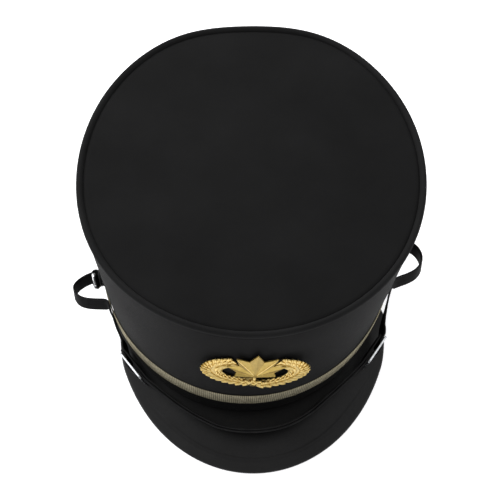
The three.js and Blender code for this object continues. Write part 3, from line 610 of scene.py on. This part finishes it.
def crown_top():
    rings = np.concatenate([np.linspace(0.02, 0.92, 46), PANEL_EDGE_RINGS])
    angles = np.linspace(-math.pi, math.pi, 360, endpoint=False)[:, None]
    edge = crown_point(angles, PANEL_TOP - CLOTH, PANEL_OUT + 0 * angles)[:, 0]
    pucker = puckers(angles, 0.5, 0.3, 0.2)
    near = smooth((rings - 0.94) / 0.05)
    sway = 0.15 * np.sin(edge[:, :1] * rings / 31 + 1) * np.sin(edge[:, 1:2] * rings / 27)
    turned = 1.1 * np.clip((rings - 0.975) / 0.025, 0, 1) ** 2
    top = PANEL_TOP + PANEL_DOME * (1 - rings**2) + 0.1 * near * pucker + sway * (1 - near) - turned
    under = PANEL_TOP + PANEL_DOME * (1 - rings**2) - CLOTH + 0 * angles
    spread = np.concatenate([rings, rings[::-1]])
    height = np.hstack([under, top[:, ::-1]])
    points = np.stack([edge[:, :1] * spread, edge[:, 1:2] * spread, height], -1)
    rows, columns = points.shape[:2]
    places, faces, _ = grid_faces(points, 0.0, 0.0, round_rows=True)
    middle = len(places)
    places = np.vstack([places, [0, 0, under[0, 0]], [0, 0, top[0, 0]]])
    for i in range(rows):
        after = (i + 1) % rows
        faces.append([i * columns, after * columns, middle])
        faces.append([i * columns + columns - 1, after * columns + columns - 1, middle + 1])
    return places, faces, seen_flat(places, faces)


# Rolled welt, cloth over a cord, with small puckers toward its inner seam
def top_welt():
    angles = np.linspace(-math.pi, math.pi, 540, endpoint=False)[:, None]
    turn = np.linspace(0, 2 * math.pi, 28, endpoint=False)
    pucker = puckers(angles, 1.0, 0.7, 0.5)
    swell = 1 + 0.012 * pucker * smooth(0.5 - np.cos(turn)) + 0.008 * np.sin(11 * angles)
    heights = WELT_MIDDLE + WELT_HALF_HEIGHT * np.sin(turn) * swell
    outs = WELT_OUT + WELT_HALF_WIDTH * np.cos(turn) * swell
    points = crown_point(angles, heights, outs)
    u = np.append(angles[:, 0], math.pi) * TOP_HALF
    v = np.append(turn, 2 * math.pi) * WELT_HALF_WIDTH
    return grid_faces(points, u[:, None], v, round_rows=True, round_columns=True)


# Braid with upright ribs: height over its lower edge, place out, share of the rib
BRAID_SECTION = np.array([
    (0.0, 0.3, 0.0), (0.0, 0.7, 0.0), (0.2, 0.95, 0.3), (0.6, 1.05, 1.0),
    (2.2, 1.1, 1.0), (4.5, 1.1, 1.0), (6.9, 1.1, 1.0), (9.2, 1.1, 1.0),
    (10.8, 1.05, 1.0), (11.2, 0.95, 0.3), (11.4, 0.7, 0.0), (11.4, 0.3, 0.0),
])


def braid_band():
    count = BRAID_RIBS * 4
    angles = np.linspace(-math.pi, math.pi, count, endpoint=False)[:, None]
    rib = 0.5 + 0.5 * np.cos(angles * BRAID_RIBS)
    heights = BRAID_LOW + BRAID_SECTION[:, 0] + 0 * angles
    outs = BRAID_SECTION[:, 1] - RIB_DEEP * rib * BRAID_SECTION[:, 2]
    points = crown_point(angles, heights, outs)
    u = np.append(angles[:, 0], math.pi) * TOP_HALF + RIB_PITCH / 4
    v = shut(BRAID_SECTION[:, 0])
    return grid_faces(points, u[:, None], v, round_rows=True, round_columns=True)


# Peak with a rounded edge and a raised bead that follows it
PEAK_NEAR = np.array([
    0.0, 0.04, 0.15, 0.35, 0.65, 1.1, 1.8, 3.0, 4.4, 5.2, 5.7, 6.0, 6.25, 6.5, 6.75, 7.0,
    7.25, 7.5, 7.75, 8.0, 8.3, 8.8, 9.6, 10.8, 12.0,
])


def peak():
    sweep = np.linspace(-1, 1, 201)
    polar = (PEAK_END * np.sin(sweep * math.pi / 2))[:, None]
    reach = peak_reach(polar)
    ease = np.minimum(1, reach / 26)
    near = PEAK_NEAR * ease
    far = near[:, -1:] + (reach - near[:, -1:]) * np.linspace(0, 1, 25)[1:]
    away = np.hstack([near, far])
    share = np.clip(1 - away / reach, 0, 1)
    half = PEAK_HALF_THICK * np.sqrt(1 - np.clip(1 - away / PEAK_HALF_THICK, 0, 1) ** 2)
    bead = BEAD_HIGH * bump_at(away, BEAD_IN * ease, BEAD_HALF * ease)
    groove = bump_at(away, (BEAD_IN - 1.7) * ease, 0.6) + bump_at(away, (BEAD_IN + 1.7) * ease, 0.6)
    relief = (bead - 0.12 * groove) * smooth((reach - 14) / 12)
    middle = peak_height(polar, share)
    radius = seam_radius(polar) + reach * share - 1.0 * (1 - share) ** 8
    top = np.stack([radius * np.sin(polar), -radius * np.cos(polar), middle + half + relief], -1)
    under = np.stack([radius * np.sin(polar), -radius * np.cos(polar), middle - half], -1)
    points = np.concatenate([under[:, :0:-1], top], 1)
    v = np.hstack([away[:, :0:-1], away])
    v = np.hstack([v, v[:, -1:]])
    u = polar * PEAK_HALF_DEEP
    return capped_tube(points, u, v)


# Chin strap routes
def button_frame(side):
    turn = math.radians(BUTTONS[side])
    seat = crown_point(turn, BUTTON_HEIGHT, 0.0)
    out = unit(crown_point(turn, BUTTON_HEIGHT, 1.0) - seat)
    forward = np.array([out[1], -out[0], 0.0]) * np.sign(BUTTONS[side])
    flare = math.atan((crown_point(turn, BUTTON_HEIGHT + 1, 0.0) - seat) @ out)
    return seat, out, forward, flare


def turned(vector, axis, degrees):
    return np.array(Matrix.Rotation(math.radians(degrees), 3, Vector(axis)) @ Vector(vector))


def face_of(direction, lean):
    along = unit(direction)
    return turned((along[1], -along[0], 0.0), along, lean)


def loop_stops(side):
    seat, out, forward, flare = button_frame(side)
    stops = []
    for away, ahead, drop, share in BUTTON_END:
        place = seat + out * (away - drop * math.tan(flare)) + forward * ahead - np.array([0.0, 0.0, drop])
        stops.append((place, -share * math.degrees(flare)))
    for x, y, z, lean in LOOPS[side]:
        stops.append((np.array([x, y, z]), lean))
    return stops


def slide_stop(side, along, out):
    x, y, z, heading = SLIDES[side]
    direction = np.array([math.cos(math.radians(heading)), math.sin(math.radians(heading)), 0.0])
    place = np.array([x, y, z]) + direction * along + face_of(direction, SLIDE_LEAN) * out
    return place, SLIDE_LEAN


def slide_stops(side, shift, woven):
    stops = []
    for along in [-a for a in reversed(WEAVE_HALF)] + [0.0] + list(WEAVE_HALF):
        push = smooth((WEAVE_FAR - abs(along)) / (WEAVE_FAR - WEAVE_NEAR))
        stops.append(slide_stop(side, along, shift + (WEAVE_OUT * push if woven else 0.0)))
    return stops


def front_stops(shift):
    path = [SLIDES["left"][:2]] + [row[:2] for row in FRONT_RUN] + [SLIDES["right"][:2]]
    stops = []
    for i, (x, y, lift, tilt) in enumerate(FRONT_RUN):
        lean = math.radians(tilt)
        rise = STRAP_HALF * math.cos(lean)
        inward = STRAP_HALF * math.sin(lean) + (LAYER_SHIFT + STRAP_THICK / 2) * math.cos(lean)
        direction = np.array([path[i + 2][0] - path[i][0], path[i + 2][1] - path[i][1], 0.0])
        outward = face_of(direction, 0)
        seat = peak_top_at(x - outward[0] * inward, y - outward[1] * inward)
        place = np.array([x, y, seat + lift + rise]) + face_of(direction, tilt) * shift
        stops.append((place, tilt))
    return stops


def smooth_route(stops):
    """Even steps along a centripetal curve through the stops, with the lean at each step."""
    places = np.array([stop[0] for stop in stops])
    leans = np.array([stop[1] for stop in stops], float)
    padded = np.vstack([2 * places[0] - places[1], places, 2 * places[-1] - places[-2]])
    local = np.linspace(0, 1, 40, endpoint=False)[:, None]
    points = []
    tilts = []
    for i in range(len(places) - 1):
        a, b, c, d = padded[i : i + 4]
        ab, bc, cd = (math.sqrt(np.linalg.norm(q - p)) for p, q in ((a, b), (b, c), (c, d)))
        first = ((b - a) / ab - (c - a) / (ab + bc) + (c - b) / bc) * bc
        last = ((c - b) / bc - (d - b) / (bc + cd) + (d - c) / cd) * bc
        cubic = 2 * b - 2 * c + first + last
        square = 3 * c - 3 * b - 2 * first - last
        points.append(b + first * local + square * local**2 + cubic * local**3)
        tilts.append(leans[i] + (leans[i + 1] - leans[i]) * local[:, 0])
    points = np.vstack(points + [places[-1:]])
    tilts = np.append(np.concatenate(tilts), leans[-1])
    run = np.append(0, np.cumsum(np.linalg.norm(np.diff(points, axis=0), axis=1)))
    steps = np.linspace(0, run[-1], round(run[-1] / STRAP_STEP) + 1)
    even = np.stack([np.interp(steps, run, points[:, k]) for k in range(3)], -1)
    return even, np.interp(steps, run, tilts), steps


# Section of the strap: rounded edges, a groove along each edge and fine lines between them
def strap_section():
    across = np.linspace(-1, 1, 61)
    edge = np.clip((np.abs(across) * STRAP_HALF - STRAP_HALF + 0.6) / 0.6, 0, 1)
    round_off = np.maximum(0.15, np.sqrt(1 - edge**2))
    groove = 0.16 * bump_at(np.abs(across) * STRAP_HALF, 4.5, 0.32)
    lines = 0.05 * (0.5 - 0.5 * np.cos(across * STRAP_HALF * 2 * math.pi / 1.2))
    inside = smooth((4.0 - np.abs(across) * STRAP_HALF) / 0.6)
    deep = STRAP_THICK / 2 * round_off - groove - lines * inside
    return np.concatenate([across, across[::-1]]), np.concatenate([-deep, deep[::-1]])


def strap(stops, button_first):
    places, leans, steps = smooth_route(stops)
    along = np.gradient(places, axis=0)
    along /= np.linalg.norm(along, axis=1, keepdims=True)
    side = np.cross(along, [0.0, 0.0, 1.0])
    side /= np.linalg.norm(side, axis=1, keepdims=True)
    rise = np.cross(side, along)
    rise = np.array([turned(r, a, lean) for r, a, lean in zip(rise, along, leans)])
    side = np.array([turned(s, a, lean) for s, a, lean in zip(side, along, leans)])
    cut = np.clip(1 - np.minimum(steps, steps[-1] - steps) / STRAP_END_ROUND, 0, 1)
    from_button = steps if button_first else steps[-1] - steps
    narrow = STRAP_AT_END + (1 - STRAP_AT_END) * smooth(from_button / STRAP_TAPER)
    half = STRAP_HALF * narrow * np.maximum(0.45, np.sqrt(1 - cut * cut))
    across, deep = strap_section()
    points = places[:, None] + rise[:, None] * (half[:, None] * across)[..., None]
    points = points + side[:, None] * deep[None, :, None]
    edge = STRAP_HALF * (1 - np.abs(across))
    return tube(points, steps[:, None], np.append(edge, edge[0]))


def strap_left():
    shift = -LAYER_SHIFT
    stops = loop_stops("left") + slide_stops("left", shift, False) + front_stops(shift)
    return strap(stops + slide_stops("right", shift, False), True)


def strap_right():
    shift = LAYER_SHIFT
    stops = [slide_stop("left", -TAB_END, shift)] + slide_stops("left", shift, True) + front_stops(shift)
    return strap(stops + slide_stops("right", shift, True) + loop_stops("right")[::-1], False)


# Side button, as radius and height over the wall: foot, collars beside the strap, underside, rim and dome
def button_outline():
    under = []
    for t in np.linspace(0, math.pi / 2, 9):
        under.append((4.4 + 0.8 * math.sin(t), 4.1 + 1.75 * (1 - math.cos(t))))
    dome = []
    for t in np.linspace(0, math.pi / 2, 12)[:-1]:
        dome.append((4.6 * math.cos(t), 6.75 + 1.0 * math.sin(t)))
    return [*BUTTON_FOOT, *under, *BUTTON_RIM, *dome, BUTTON_TOP]


def button(side):
    profile = button_outline()
    seat, out, _, flare = button_frame(side)
    axis = Vector((out[0] * math.cos(flare), out[1] * math.cos(flare), -math.sin(flare)))
    spin = np.array(Vector((0, 0, 1)).rotation_difference(axis).to_matrix())
    turn = np.linspace(0, 2 * math.pi, 72, endpoint=False)[:, None]
    radius = np.array([p[0] for p in profile])
    height = np.array([p[1] for p in profile]) + 0 * turn
    points = np.stack([radius * np.cos(turn), radius * np.sin(turn), height], -1) @ spin.T + seat
    run = np.hypot(*np.diff(np.array(profile), axis=0).T)
    v = np.append(0, np.cumsum(run))
    u = np.append(turn[:, 0], 2 * math.pi) * BUTTON_RADIUS
    rows, columns = points.shape[:2]
    places, faces, maps = grid_faces(points, u[:, None], v, round_rows=True)
    ends = [[i * columns for i in range(rows)], [i * columns + columns - 1 for i in range(rows)]]
    return places, faces + ends, np.vstack([maps, np.zeros((2 * rows, 2))])


# Badge parts, made flat with X across, Y up and Z out of the face
def wreath_point(turn, out, side):
    """A point of one half of the wreath; the half at +X sags a little toward the bottom."""
    x = side * (WREATH_HALF_WIDTH + out) * np.cos(turn)
    sag = WREATH_SAG[side] * smooth((-turn - 0.5) / 1.07)
    y = (WREATH_HALF_HEIGHT + out) * np.sin(turn) + WREATH_MIDDLE - sag
    return np.stack(np.broadcast_arrays(x, y), -1)


def wreath_width(turn):
    """Share of the band's width, less toward the bottom and toward the end."""
    return 1 - 0.24 * smooth((-turn - 0.5) / 1.07) - 0.25 * smooth((turn - WREATH_HIGH) / 0.5 + 1)


def wreath_inner(turn):
    """Share of the band's inner half, less beside the holes."""
    return 1 - 0.4 * bump_at(turn, -0.7, 0.5)


def wreath_band(side):
    turn = np.linspace(WREATH_LOW - 0.06, WREATH_HIGH, 61)[:, None]
    half = WREATH_BAND / 2 * wreath_width(turn)
    across = np.linspace(-1, 1, 13)
    plan = wreath_point(turn, half * across * np.where(across < 0, wreath_inner(turn), 1), side)
    top = np.dstack([plan, BADGE_PLATE - 0.7 * across**2 + 0 * turn])
    under = np.dstack([plan, 0 * across + 0 * turn])
    return tube(np.concatenate([top, under[:, ::-1]], 1), 0.0, 0.0)


def leaflet(foot, course, lift, long, wide, high):
    s = np.linspace(0, 1, 11)[:, None]
    across = np.linspace(-1, 1, 7)
    half = wide / 2 * np.maximum(0.05, 1.55 * (s + 0.06) ** 0.55 * (1 - s) ** 0.75)
    ridge = high * (0.45 + 0.55 * np.sin(math.pi * (0.15 + 0.75 * s)))
    crest = ridge * (1 - 0.62 * np.abs(across) ** 1.3) - 0.25 * bump_at(across, 0, 0.16)
    x = s * long + 0 * across
    top = np.stack([x, half * across, crest + 0 * x], -1)
    under = np.stack([x, half * across, -0.9 + 0 * x], -1)
    points = np.concatenate([top, under[:, ::-1]], 1)
    turn = np.array([[math.cos(course), math.sin(course)], [-math.sin(course), math.cos(course)]])
    points[..., :2] = points[..., :2] @ turn + foot
    points[..., 2] += lift
    return tube(points, 0.0, 0.0)


# Leaflets stop short of the wreath's ends
LEAFLETS_FROM = WREATH_LOW + 0.08
LEAFLETS_SPAN = WREATH_HIGH - 0.16 - WREATH_LOW - 0.08

# Rows of leaflets: count, place across the band, splay in degrees, length, width, height, lift
LEAFLET_ROWS = (
    (17, 3.4, -46, 5.4, 2.6, 1.2, 0.8),
    (16, -3.0, 40, 4.8, 2.5, 1.2, 0.8),
    (16, 1.2, -30, 5.4, 2.7, 1.3, 1.25),
    (16, -1.2, 28, 5.2, 2.6, 1.3, 1.25),
)


def wreath_leaflets(side):
    parts = []
    for count, across, splay, long, wide, high, lift in LEAFLET_ROWS:
        for i in range(count):
            turn = np.array(LEAFLETS_FROM + LEAFLETS_SPAN * i / (count - 1))
            inner = wreath_inner(turn) if across < 0 else 1.0
            place = across * wreath_width(turn) * inner
            foot = wreath_point(turn, place, side)
            ahead = wreath_point(turn + 0.05, place, side) - foot
            course = math.atan2(ahead[1], ahead[0]) + side * math.radians(splay)
            near_end = (1 - 0.15 * i / (count - 1)) * (0.4 + 0.6 * inner)
            raised = lift + 0.15 * (i % 2)
            parts.append(leaflet(foot, course, raised, long * near_end, wide * near_end, high))
    return parts


# The middle leaf, a stamped sheet with a ridge to the tip of each lobe
def leaf():
    right = [LEAF_FOOT] + [point for lobe in LOBES for point in lobe]
    outline = right + [(0.0, LEAF_TOP)] + [(-x, y) for x, y in reversed(right)]
    shape = bmesh.new()
    vein = shape.verts.new((0, LEAF_BASE + LEAF_NODE, 3.5))
    back = shape.verts.new((0, LEAF_BASE + LEAF_NODE, 3.5 - LEAF_SHEET))
    rim = []
    for i, (x, y) in enumerate(outline):
        high = 3.2 if i % 2 == 1 else 1.7
        upper = shape.verts.new((x, y + LEAF_BASE, high))
        lower = shape.verts.new((x, y + LEAF_BASE, high - LEAF_SHEET))
        rim.append((upper, lower))
    for i, (top, low) in enumerate(rim):
        next_top, next_low = rim[(i + 1) % len(rim)]
        shape.faces.new((vein, top, next_top))
        shape.faces.new((top, low, next_low, next_top))
        shape.faces.new((back, next_low, low))
    bmesh.ops.recalc_face_normals(shape, faces=shape.faces)
    bmesh.ops.bevel(shape, geom=list(shape.edges), offset=0.14, segments=2, profile=0.5, affect="EDGES")
    shape.verts.index_update()
    points = np.array([v.co for v in shape.verts])
    faces = [[v.index for v in face.verts] for face in shape.faces]
    shape.free()
    return points, faces, seen_flat(points, faces) + [LEAF_MAP, 0.0], True


def ball(x, y, z, radius, squeeze):
    turn = np.linspace(0, 2 * math.pi, 16, endpoint=False)[:, None]
    rise = np.linspace(-1.45, 1.45, 11)
    spread = radius * np.cos(rise)
    points = np.stack([
        x + spread * np.cos(turn), y + spread * np.sin(turn), z + radius * squeeze * np.sin(rise) + 0 * turn,
    ], -1)
    rows, columns = points.shape[:2]
    places, faces, _ = grid_faces(points, 0.0, 0.0, round_rows=True)
    faces.append([i * columns for i in range(rows)])
    faces.append([i * columns + columns - 1 for i in range(rows)])
    return places, faces, np.zeros((sum(len(f) for f in faces), 2))


def rod(start, end, radius):
    start = np.array(start, float)
    end = np.array(end, float)
    along = unit(end - start)
    side = unit(np.cross(along, [0.0, 0.0, 1.0]))
    rise = np.cross(side, along)
    share = np.linspace(0, 1, 9)[:, None]
    turn = np.linspace(0, 2 * math.pi, 12, endpoint=False)
    middle = start + (end - start) * share
    swell = radius * (1 - 0.35 * (2 * share - 1) ** 4)
    ring = side * np.cos(turn)[:, None] + rise * np.sin(turn)[:, None]
    points = middle[:, None] + swell[:, :, None] * ring
    return tube(points, 0.0, 0.0)


def creases():
    """Raised creases from the leaf's node to its two upper tips, in the wreath's brighter gold as a painted
    highlight.
    """
    x, y = LOBES[2][0]
    start = (0.0, LEAF_BASE + LEAF_NODE, 3.4)
    return [rod(start, (side * (x - 0.5), LEAF_BASE + y - 0.9, 3.15), 0.42) for side in (-1, 1)]


# Small lumps where the halves of the wreath meet: x, height over the band's middle and size
LUMPS = (
    (-6.8, 3.4, 1.3), (-4.6, 4.4, 1.2), (-2.6, 2.8, 1.4), (-0.8, 4.6, 1.1), (1.2, 3.0, 1.4), (3.2, 3.6, 1.2),
    (5.2, 1.8, 1.3), (7.2, 2.0, 1.2), (-4.2, 0.8, 1.2), (0.2, 0.2, 1.3), (3.4, -0.4, 1.2),
)


def tie():
    low = WREATH_MIDDLE - WREATH_HALF_HEIGHT
    parts = [rod((0, LEAF_BASE + 0.5, 1.8), (0, low, 1.2), 1.1)]
    for x, y, size in LUMPS:
        parts.append(ball(x, low + y, 2.2, size, 0.8))
    return parts


def badge_place(points):
    cosine = math.cos(BADGE_TILT)
    sine = math.sin(BADGE_TILT)
    turn = np.array([[cosine, -sine], [sine, cosine]])
    flat = points[:, :2] * np.array([1, BADGE_SQUASH]) @ turn
    out = points[:, 2] - flat[:, 0] ** 2 / (2 * BADGE_TURN)
    seat = crown_point(0.0, BADGE_HEIGHT, BADGE_OUT)
    lean = math.atan(seat[1] - crown_point(0.0, BADGE_HEIGHT + 1, BADGE_OUT)[1])
    x = flat[:, 0] + seat[0] + BADGE_SIDE
    y = seat[1] - flat[:, 1] * math.sin(lean) - out * math.cos(lean)
    z = seat[2] + flat[:, 1] * math.cos(lean) - out * math.sin(lean)
    return np.stack([x, y, z], -1)


def badge():
    parts = [*creases(), *tie()]
    for side in (-1, 1):
        parts.append(wreath_band(side))
        parts.extend(wreath_leaflets(side))
    parts = [leaf()] + [(points, faces, seen_flat(points, faces)) for points, faces, _ in parts]
    return [(badge_place(part[0]), *part[1:]) for part in parts]


add_piece("crown_wall", [crown_side()], cloth, "crown_cloth", "crown_side")
add_piece("crown_panel", [crown_top()], cloth, "crown_cloth", "crown_top")
add_piece("rolled_welt", [top_welt()], welt_painted_light_cloth, "crown_cloth", "top_welt")
add_piece("ribbed_braid", [braid_band()], braid_metal, "braid", "braid_band")
add_piece("stitched_peak", [peak()], peak_leather, "peak_leather", "peak")
add_piece("chin_strap_left", [strap_left()], strap_leather, "strap_leather", "strap_left")
add_piece("chin_strap_right", [strap_right()], strap_leather, "strap_leather", "strap_right")
add_piece("domed_button_left", [button("left")], button_metal, "button_metal", "button_left")
add_piece("domed_button_right", [button("right")], button_metal, "button_metal", "button_right")
add_piece("wreath_badge", badge(), gold, "gold_metal", "badge")

# The slides keep their own solids, with eased edges
for side in SLIDES:
    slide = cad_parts["slide_" + side]
    slide.data.materials.clear()
    slide.data.materials.append(silver)
    weld = slide.modifiers.new("weld", "WELD")
    weld.merge_threshold = 0.00001
    ease = slide.modifiers.new("ease", "BEVEL")
    ease.width = 0.0003
    ease.segments = 3
    ease.limit_method = "ANGLE"
    ease.angle_limit = math.radians(40)


# Floor, light and camera
def add_floor():
    mesh = bpy.data.meshes.new("floor")
    mesh.from_pydata([(-6, -6, 0), (6, -6, 0), (6, 6, 0), (-6, 6, 0)], [], [(0, 1, 2, 3)])
    mesh.materials.append(floor_finish())
    floor = bpy.data.objects.new("floor", mesh)
    bpy.context.scene.collection.objects.link(floor)


def add_softbox(name, place, target, size, power):
    data = bpy.data.lights.new(name, "AREA")
    data.shape = "DISK"
    data.size = size
    data.energy = power
    lamp = bpy.data.objects.new(name, data)
    bpy.context.scene.collection.objects.link(lamp)
    lamp.location = place
    lamp.rotation_mode = "QUATERNION"
    lamp.rotation_quaternion = (Vector(target) - Vector(place)).to_track_quat("-Z", "Y")


def add_camera(eye, target, lens):
    """Camera at a place in millimetres from the foot of the hat's axis."""
    data = bpy.data.cameras.new("camera")
    data.lens = lens
    data.sensor_width = 36.0
    camera = bpy.data.objects.new("camera", data)
    bpy.context.scene.collection.objects.link(camera)
    eye = Vector(np.array(eye) * MM + AXIS)
    target = Vector(np.array(target) * MM + AXIS)
    camera.location = eye
    camera.rotation_mode = "QUATERNION"
    camera.rotation_quaternion = (target - eye).to_track_quat("-Z", "Y")
    bpy.context.scene.camera = camera


def add_world(horizon, zenith, front):
    """A studio that is bright overhead, dim at the horizon and dimmer again in front of the hat."""
    world = bpy.data.worlds.new("studio")
    world.use_nodes = True
    tree = world.node_tree
    around = tree.nodes.new("ShaderNodeTexCoord").outputs["Generated"]
    split = tree.nodes.new("ShaderNodeSeparateXYZ")
    tree.links.new(around, split.inputs[0])
    rise = tree.nodes.new("ShaderNodeMapRange")
    tree.links.new(split.outputs[2], rise.inputs[0])
    ahead = tree.nodes.new("ShaderNodeMapRange")
    tree.links.new(split.outputs[1], ahead.inputs[0])
    for node, limits in ((rise, (0.05, 0.85, horizon, zenith)), (ahead, (-0.9, 0.1, front, 1.0))):
        node.interpolation_type = "SMOOTHSTEP"
        for i, limit in enumerate(limits):
            node.inputs[i + 1].default_value = limit
    power = tree.nodes.new("ShaderNodeMath")
    power.operation = "MULTIPLY"
    tree.links.new(rise.outputs[0], power.inputs[0])
    tree.links.new(ahead.outputs[0], power.inputs[1])
    tree.links.new(power.outputs[0], tree.nodes["Background"].inputs["Strength"])
    tree.nodes["Background"].inputs["Color"].default_value = (1.0, 1.0, 1.0, 1.0)
    bpy.context.scene.world = world


add_floor()
add_world(horizon=0.45, zenith=1.2, front=0.6)
for name, (place, target, size, power) in SOFTBOXES.items():
    add_softbox(name, place, target, size, power)
add_camera(EYE, TARGET, LENS)
bpy.context.scene.view_settings.view_transform = "Standard"
